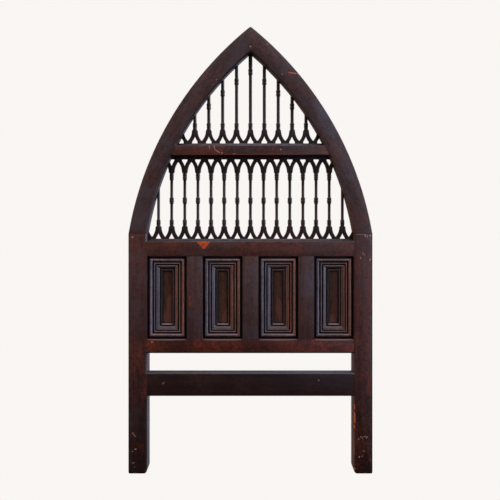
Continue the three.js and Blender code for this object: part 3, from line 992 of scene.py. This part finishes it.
def arcade(name, gallery, sizes, base, up):
    """A row of bays: one bay is sawn, repeated along the rail and trimmed to the arch."""
    pitch, half_stem = gallery["pitch"], gallery["stem_width"] / 2
    half = pitch / 2 - half_stem
    rise = sizes["springing"] - sizes["tip"]
    radius = (half ** 2 + rise ** 2) / (2 * half)
    reach = half_stem + radius
    stem, springing = base + up * sizes["stem"], base + up * sizes["springing"]
    heights = sorted((base, stem))
    back = LATTICE_FRONT + LATTICE_THICKNESS
    bay = block(name, (-pitch / 2, LATTICE_FRONT, heights[0]), (pitch / 2, back, heights[1]))
    hole_heights = sorted((base + up * sizes["strip"], springing - up * sizes["tip"]))
    hole = block("hole", (-HOLE_WIDTH / 2, CUTTER_FRONT, hole_heights[0]),
                 (HOLE_WIDTH / 2, CUTTER_BACK, hole_heights[1]))
    for side in (-1, 1):
        limb = disc(radius + LIMB_WIDTH, side * reach, springing)
        carve(hole, limb)
        light = disc(radius, side * reach, springing)
        carve(bay, light)
        # Above the lancets the stem's sides slope in to the spindle's foot
        slope_heights = sorted((springing, stem + up))
        slope_sides = sorted((side * half_stem, side * pitch))
        slope = block("slope", (slope_sides[0], CUTTER_FRONT, slope_heights[0]),
                      (slope_sides[1], CUTTER_BACK, slope_heights[1]))
        edit(slope)
        pick("VERT", lambda v: near(v.x, side * half_stem * MM) and near(v.z, level(stem + up)))
        bpy.ops.transform.translate(value=(-side * sizes["shoulder"] * MM, 0, 0))
        carve(bay, slope)
        put_away(limb, light, slope)
    carve(bay, hole)
    put_away(hole)
    # The bay's sides are opened, so that the copies join into one board
    edit(bay)
    pick("FACE", lambda middle, normal: near(abs(middle.x), pitch / 2 * MM))
    bpy.ops.mesh.delete(type="FACE")
    bpy.ops.mesh.select_all(action="SELECT")
    bpy.ops.transform.translate(value=(-(gallery["count"] + 1) / 2 * pitch * MM, 0, 0))
    take_up(bay)
    bpy.ops.object.modifier_add(type="ARRAY")
    row = bay.modifiers[-1]
    row.count = gallery["count"] + 2
    row.use_relative_offset, row.use_constant_offset = False, True
    row.constant_offset_displace = (pitch * MM, 0, 0)
    row.use_merge_vertices = True
    row.merge_threshold = BAY_SEAM * MM
    bpy.ops.object.modifier_apply(modifier=row.name)
    edit(bay)
    bpy.ops.mesh.select_mode(type="EDGE")
    bpy.ops.mesh.select_non_manifold()
    bpy.ops.mesh.fill_holes(sides=0)
    face_outward()
    carve(bay, inside, "INTERSECT")
    return bay


# Painted sheen: a pale grey-blue band on the sills of the two rows that stand on rails
SILL_SHEEN_MARKS = [("86767a", [(0, 994.5, 470, 3.6, 0), (0, 1406, 330, 4.5, 0)])]
lattice_finish = stained_wood("lattice stain", 0, "20130f", "3a2521", "54261f", 0.3, 0.34)
sill_sheen_finish = stained_wood("lattice stain with painted sheen over the rail", 0, "20130f", "3a2521", "54261f", 0.3,
                           0.34, marks=SILL_SHEEN_MARKS, face=LATTICE_FRONT)
for name, gallery, sizes, base, up in (
        ("lower_arcade_bottom", LOWER, LOWER_BOTTOM, top_of(MAIN_RAIL) + JOINT, 1),
        ("lower_arcade_top", LOWER, LOWER_TOP, MID_RAIL["bottom"] - JOINT, -1),
        ("upper_arcade_bottom", UPPER, UPPER_BOTTOM, top_of(MID_RAIL) + JOINT, 1)):
    row = arcade(name + "_wood", gallery, sizes, base, up)
    ease(row, LATTICE_EASE, LATTICE_DOUBLES)
    dress(row, sill_sheen_finish if up > 0 else lattice_finish, "spindle_wood", name)


# Spindles: slender rods of the same wood turned on a lathe, with a few small beads near each end
# and, in the lower gallery, half way up. They are pegged into the stems of the arcades.
SHAFT = 6.3
UPPER_SHAFT = 7.0
UPPER_HEAD = 7.3
MIDDLE_HEAD = 8.4
LOWER_FOOT = 8.8
UPPER_FOOT = 8.6
LATHE_STEPS = 16
LATHE_DOUBLES = 0.02
SPINDLE_SMOOTH = radians(40)


def turned_bead(low, high, neck, crown, steps=5):
    """Radii over a bead between two heights: radius, then height."""
    turns = [pi * i / steps for i in range(steps + 1)]
    middle, half = (low + high) / 2, (high - low) / 2
    return [(neck + (crown - neck) * sin(t), middle - half * cos(t)) for t in turns]


def turn(name, profile):
    """Spin a profile of radii and heights once round the lathe's axis."""
    axis_y = (LATTICE_FRONT + LATTICE_THICKNESS / 2) * MM
    fresh()
    bpy.ops.mesh.primitive_plane_add(size=MM, location=(0, axis_y, level(profile[0][1])))
    piece = bpy.context.object
    piece.name = piece.data.name = name
    settle()
    edit(piece)
    bpy.ops.mesh.select_all(action="SELECT")
    bpy.ops.mesh.merge(type="CENTER")
    last = (0, profile[0][1])
    for radius, height in [*profile, (0, profile[-1][1])]:
        bpy.ops.mesh.extrude_vertices_move(TRANSFORM_OT_translate={
            "value": ((radius - last[0]) * MM, 0, (height - last[1]) * MM)})
        last = (radius, height)
    bpy.ops.mesh.select_all(action="SELECT")
    bpy.ops.mesh.spin(steps=LATHE_STEPS, angle=2 * pi, center=(0, axis_y, 0), axis=(0, 0, 1))
    bpy.ops.mesh.select_all(action="SELECT")
    bpy.ops.mesh.remove_doubles(threshold=LATHE_DOUBLES * MM)
    face_outward()
    take_up(piece)
    bpy.ops.object.shade_smooth_by_angle(angle=SPINDLE_SMOOTH)
    return piece


def raised(profile, height):
    return [(radius, height + z) for radius, z in profile]


# Each group of beads, from its own lower end up: radius, then height
LOW_COLLAR = [*turned_bead(0, 6, 7.6, 9.2), *turned_bead(6.8, 13.5, 8.0, 9.8),
              *turned_bead(14.4, 23, 7.8, 9.4), (SHAFT, 27)]
MIDDLE_COLLAR = [(SHAFT, 0), (7.2, 3), *turned_bead(3.6, 10, 7.8, 9.7),
                 *turned_bead(10.8, 18.5, 8.2, 10.4), *turned_bead(19.4, 28, 8.0, 10.0),
                 (SHAFT, 32)]
HIGH_COLLAR = [(SHAFT, 0), *turned_bead(1.5, 9, 7.4, 9.2), *turned_bead(10, 18, 7.8, 9.6),
               *turned_bead(19, 27, 8.0, 9.8), *turned_bead(27.8, 32.6, 8.4, 9.4), (8.8, 33)]
UPPER_LOW_COLLAR = [(8.6, 0), *turned_bead(0.8, 8, 7.8, 9.6), *turned_bead(9, 18, 8.0, 9.8),
                    (UPPER_SHAFT, 20)]
UPPER_HIGH_COLLAR = [(UPPER_SHAFT, 0), *turned_bead(4, 15, 8.0, 9.8),
                     *turned_bead(16.4, 29, 8.0, 9.8), (UPPER_HEAD, 33)]

# How high the groups sit above the spindle's foot, how far below the arch, and how far a
# spindle's head runs past the arch before it is trimmed
LOW_COLLAR_RISE = 3.5
MIDDLE_COLLAR_RISE = 94.5
UPPER_COLLAR_RISE = 8.0
UPPER_COLLAR_DROPS = [77.0, 66.0, 54.0, 40.0]
UPPER_HEAD_RISE = 36.0
OVERRUN = 9.0


def opening_half_width(height):
    return inner_centre[0] + sqrt(ARCH_INNER_RADIUS ** 2 - (height - inner_centre[1]) ** 2)


# The two outermost lower spindles end in the arch and have no beads above the lowest ones
lower_foot = top_of(MAIN_RAIL) + LOWER_BOTTOM["stem"] + 2 * JOINT
lower_head = MID_RAIL["bottom"] - LOWER_TOP["stem"] - JOINT
low_part = [(LOWER_FOOT, lower_foot), *raised(LOW_COLLAR, lower_foot + LOW_COLLAR_RISE)]
whole = turn("whole spindle", [*low_part, *raised(MIDDLE_COLLAR, lower_foot + MIDDLE_COLLAR_RISE),
                               *raised(HIGH_COLLAR, lower_head - HIGH_COLLAR[-1][1])])
short = turn("short spindle", [*low_part, (SHAFT, lower_head)])
opening = opening_half_width(lower_head)
for number in range(LOWER["count"]):
    x = (number - (LOWER["count"] - 1) / 2) * LOWER["pitch"]
    spindle = copy_across(short if opening < abs(x) else whole,
                          f"lower_spindle_{number + 1}_wood", x)
    if opening < abs(x) + 2 * SHAFT:
        carve(spindle, inside, "INTERSECT")
    dress(spindle, lattice_finish, "spindle_wood", f"lower_spindle_{number + 1}")
put_away(whole, short)

# Each upper spindle is as long as the arch allows, so only those on either side are alike
upper_foot = top_of(MID_RAIL) + UPPER_BOTTOM["stem"] + 2 * JOINT
middle_step = (UPPER["count"] - 1) // 2
upper_masters = []
for step in range(middle_step + 1):
    ceiling = inner_centre[1] + sqrt(ARCH_INNER_RADIUS ** 2
                                     - (step * UPPER["pitch"] - inner_centre[0]) ** 2)
    profile = [(UPPER_FOOT, upper_foot), *raised(UPPER_LOW_COLLAR, upper_foot + UPPER_COLLAR_RISE)]
    head = UPPER_SHAFT
    if step < len(UPPER_COLLAR_DROPS):
        collar = ceiling - UPPER_COLLAR_DROPS[step] - UPPER_HIGH_COLLAR[-1][1] / 2
        head = UPPER_HEAD if step else MIDDLE_HEAD
        profile += [*raised(UPPER_HIGH_COLLAR, collar), (head, collar + UPPER_HEAD_RISE)]
    upper_masters.append(turn(f"spindle {step} from the middle",
                              [*profile, (head, ceiling + OVERRUN)]))
for number in range(UPPER["count"]):
    step = number - middle_step
    spindle = copy_across(upper_masters[abs(step)], f"upper_spindle_{number + 1}_wood",
                          step * UPPER["pitch"])
    carve(spindle, inside, "INTERSECT")
    dress(spindle, lattice_finish, "spindle_wood", f"upper_spindle_{number + 1}")
put_away(*upper_masters)
put_away(inside)
